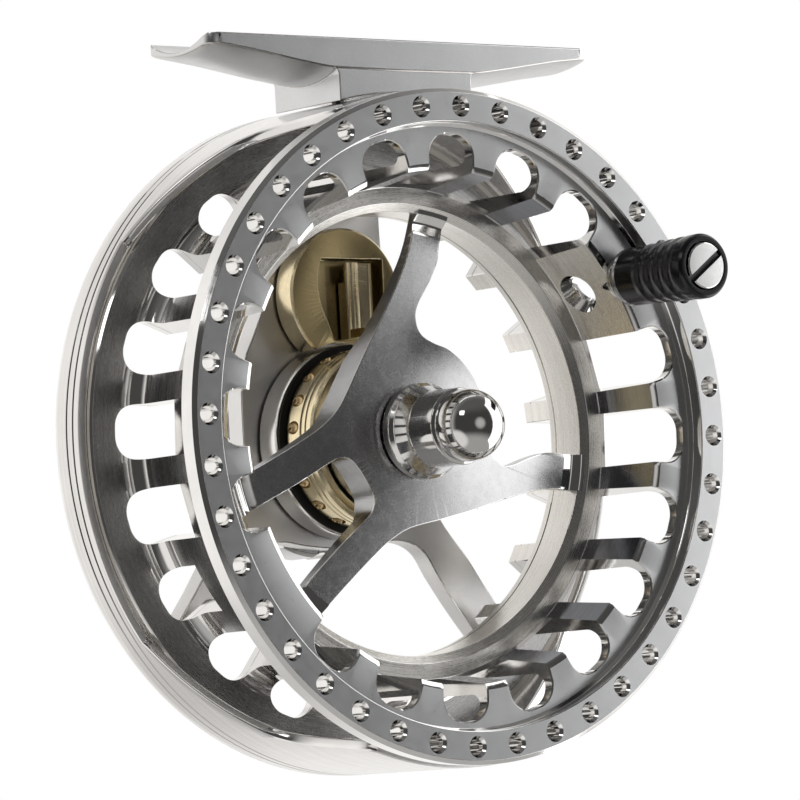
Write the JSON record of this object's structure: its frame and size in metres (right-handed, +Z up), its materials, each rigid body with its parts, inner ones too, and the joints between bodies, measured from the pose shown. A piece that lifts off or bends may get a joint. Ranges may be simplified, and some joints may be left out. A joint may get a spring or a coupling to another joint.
{
  "type": "fly reel",
  "caption": "Large-arbor fly reel: slotted spool on slender arms in an open spoked frame, with a curved foot, round crank grip, rear drag knob and click housing.",
  "frame": {"origin": "under the middle of the bounding box, level with the lowest point of the frame ring; the spindle axis is 38.2 mm above it", "axes": "+X right seen from the crank side, +Y from the crank side to the back of the frame along the spindle, +Z up to the reel foot"},
  "size_m": [0.0764, 0.0478, 0.0827],
  "materials": {
    "satin_aluminium": "bead-blasted satin, clear anodised, polished chamfers",
    "frame_aluminium": "turned and satin, clear anodised",
    "foot_aluminium": "bead-blasted satin, clear anodised",
    "gold_anodised": "champagne gold anodised, fine turned",
    "polished_steel": "mirror polished",
    "stainless_steel": "turned",
    "black_anodised": "black, semi-gloss, ribbed",
    "black_rubber": "matte",
    "carbon_disc": "woven carbon friction face",
    "brass_screw": "machined"
  },
  "bodies": {
    "frame": {"frame": "frame_aluminium", "reel_foot": "foot_aluminium", "foot_screw_1": "stainless_steel", "foot_screw_2": "stainless_steel", "spindle": "stainless_steel", "spindle_nut": "stainless_steel", "drag_housing": "stainless_steel", "housing_seal": "black_rubber", "friction_disc": "carbon_disc", "click_housing": "gold_anodised", "click_screw": "stainless_steel", "click_spring": "stainless_steel"},
    "spool": {"spool": "satin_aluminium", "clutch_drum": "gold_anodised", "front_bearing": "stainless_steel", "one_way_clutch": "stainless_steel", "handle_post": "stainless_steel", "handle_screw": "stainless_steel"},
    "spool_cap": {"spool_cap": "polished_steel"},
    "grip": {"handle_grip": "black_anodised"},
    "rotor": {"drag_rotor": "stainless_steel"},
    "drag_slider": {"pressure_plate": "stainless_steel", "push_pin_1": "stainless_steel", "push_pin_2": "stainless_steel", "push_pin_3": "stainless_steel", "drag_spring": "stainless_steel"},
    "drag_knob": {"drag_knob": "satin_aluminium", "drag_cam": "brass_screw", "knob_screw": "stainless_steel"},
    "click_pawl": {"click_pawl": "gold_anodised"}
  },
  "joints": [
    {"name": "spool_spin", "type": "hinge", "parent": "frame", "child": "spool", "pos_m": [0, 0.0011, 0.0382], "axis": [0, 1, 0], "continuous": true},
    {"name": "cap_turn", "type": "hinge", "parent": "spool", "child": "spool_cap", "pos_m": [0, -0.0079, 0.0382], "axis": [0, 1, 0], "range_deg": [0, 90]},
    {"name": "grip_spin", "type": "hinge", "parent": "spool", "child": "grip", "pos_m": [0.02514, -0.0169, 0.05512], "axis": [0, 1, 0], "continuous": true},
    {"name": "rotor_spin", "type": "hinge", "parent": "frame", "child": "rotor", "pos_m": [0, 0.0091, 0.0382], "axis": [0, 1, 0], "continuous": true},
    {"name": "drag_turn", "type": "hinge", "parent": "frame", "child": "drag_knob", "pos_m": [0, 0.0201, 0.0382], "axis": [0, 1, 0], "range_deg": [0, 300]},
    {"name": "plate_slide", "type": "slide", "parent": "frame", "child": "drag_slider", "axis": [0, -1, 0], "range_m": [0, 0.00022]},
    {"name": "pawl_lift", "type": "slide", "parent": "frame", "child": "click_pawl", "axis": [0, 0, 1], "range_m": [0, 0.0003], "stiffness_N_per_m": 25, "springref_m": -0.002, "deforming": ["click_spring"]}
  ],
  "couplings": [
    {"joint": "rotor_spin", "follows": "spool_spin", "ratio": 1},
    {"joint": "plate_slide", "follows": "drag_turn", "m_per_rad": 0.0000382}
  ]
}
